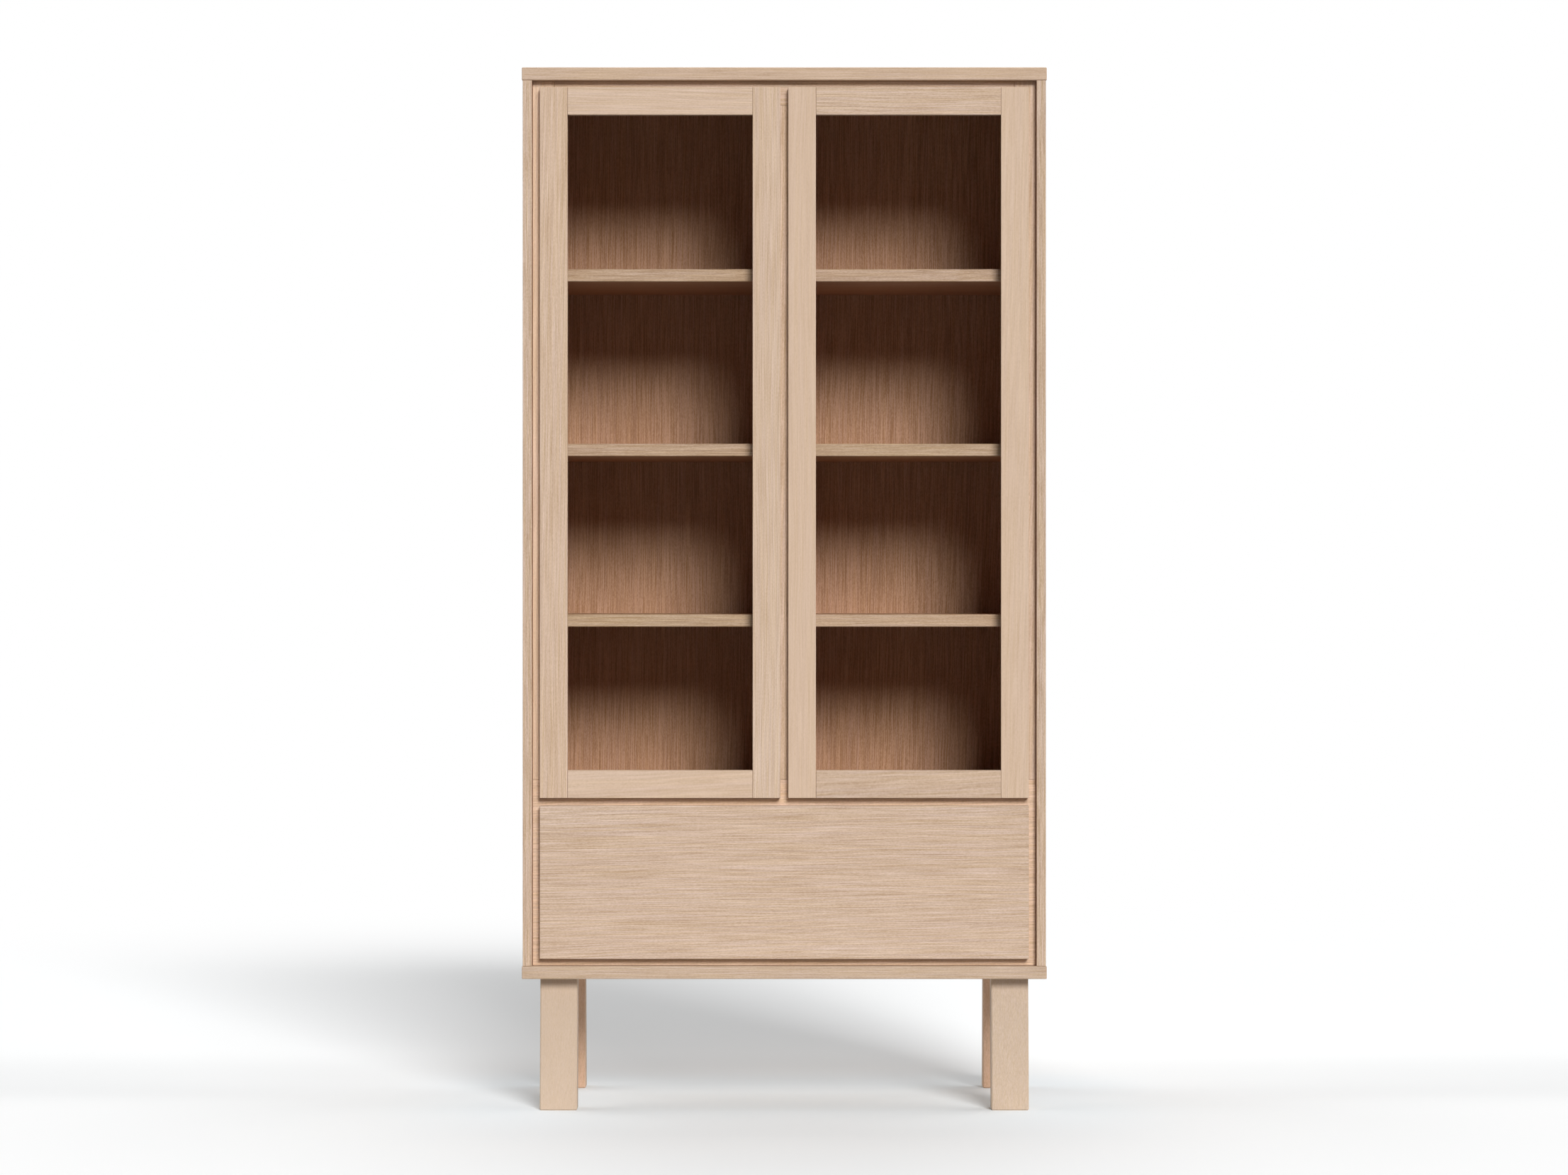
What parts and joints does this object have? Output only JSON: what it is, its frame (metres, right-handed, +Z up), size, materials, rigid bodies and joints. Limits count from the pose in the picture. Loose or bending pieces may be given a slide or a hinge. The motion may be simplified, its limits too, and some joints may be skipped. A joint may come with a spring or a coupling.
{
  "type": "display cabinet",
  "caption": "Tall oak display cabinet on leaning legs, with glazed doors over shelves and a wide drawer below.",
  "frame": {"origin": "on the floor, under the middle of the cabinet's footprint", "axes": "+Z up, +X to the viewer's right when facing the doors, +Y towards the back; the doors face -Y"},
  "size_m": [0.9, 0.4014, 1.79],
  "materials": {
    "oak": "light oak with a matt clear lacquer",
    "inner_oak": "light oak veneer with a matt lacquer, inside the cabinet",
    "glass": "clear float glass",
    "steel": "zinc plated steel hinges and runners"
  },
  "bodies": {
    "case": {"bottom_panel": "oak", "top_panel": "oak", "left_side_panel": "oak", "right_side_panel": "oak", "frame_drawer_surround": "oak", "frame_left_stile": "oak", "frame_right_stile": "oak", "frame_top_rail": "oak", "frame_centre_stile": "oak", "front_left_leg": "oak", "front_right_leg": "oak", "rear_left_leg": "oak", "rear_right_leg": "oak", "back_panel": "inner_oak", "deck_panel": "inner_oak", "centre_partition": "inner_oak", "left_lower_shelf": "inner_oak", "left_middle_shelf": "inner_oak", "left_upper_shelf": "inner_oak", "left_hinge_lower_arm": "steel", "left_hinge_middle_arm": "steel", "left_hinge_upper_arm": "steel", "left_runner_cabinet_member": "steel", "right_lower_shelf": "inner_oak", "right_middle_shelf": "inner_oak", "right_upper_shelf": "inner_oak", "right_hinge_lower_arm": "steel", "right_hinge_middle_arm": "steel", "right_hinge_upper_arm": "steel", "right_runner_cabinet_member": "steel"},
    "left_links": {"left_hinge_lower_link": "steel", "left_hinge_middle_link": "steel", "left_hinge_upper_link": "steel"},
    "left_door": {"left_door_hinge_stile": "oak", "left_door_lock_stile": "oak", "left_door_top_rail": "oak", "left_door_bottom_rail": "oak", "left_door_glass": "glass", "left_hinge_lower_cup": "steel", "left_hinge_middle_cup": "steel", "left_hinge_upper_cup": "steel"},
    "right_links": {"right_hinge_lower_link": "steel", "right_hinge_middle_link": "steel", "right_hinge_upper_link": "steel"},
    "right_door": {"right_door_hinge_stile": "oak", "right_door_lock_stile": "oak", "right_door_top_rail": "oak", "right_door_bottom_rail": "oak", "right_door_glass": "glass", "right_hinge_lower_cup": "steel", "right_hinge_middle_cup": "steel", "right_hinge_upper_cup": "steel"},
    "drawer": {"drawer_front": "oak", "drawer_left_side": "inner_oak", "drawer_right_side": "inner_oak", "drawer_back": "inner_oak", "drawer_bottom": "inner_oak", "left_runner_drawer_member": "steel", "right_runner_drawer_member": "steel"}
  },
  "joints": [
    {"name": "left_link_swing", "type": "hinge", "parent": "case", "child": "left_links", "pos_m": [-0.3812, -0.17925, 1.1465], "axis": [0, 0, 1], "range_deg": [0, 45]},
    {"name": "left_door_swing", "type": "hinge", "parent": "left_links", "child": "left_door", "pos_m": [-0.4062, -0.18875, 1.1465], "axis": [0, 0, -1], "range_deg": [0, 145]},
    {"name": "right_link_swing", "type": "hinge", "parent": "case", "child": "right_links", "pos_m": [0.3812, -0.17925, 1.1465], "axis": [0, 0, -1], "range_deg": [0, 45]},
    {"name": "right_door_swing", "type": "hinge", "parent": "right_links", "child": "right_door", "pos_m": [0.4062, -0.18875, 1.1465], "axis": [0, 0, 1], "range_deg": [0, 145]},
    {"name": "drawer_slide", "type": "slide", "parent": "case", "child": "drawer", "axis": [0, -1, 0], "range_m": [0, 0.26]}
  ],
  "couplings": [
    {"joint": "left_link_swing", "follows": "left_door_swing", "ratio": 0.31},
    {"joint": "right_link_swing", "follows": "right_door_swing", "ratio": 0.31}
  ]
}
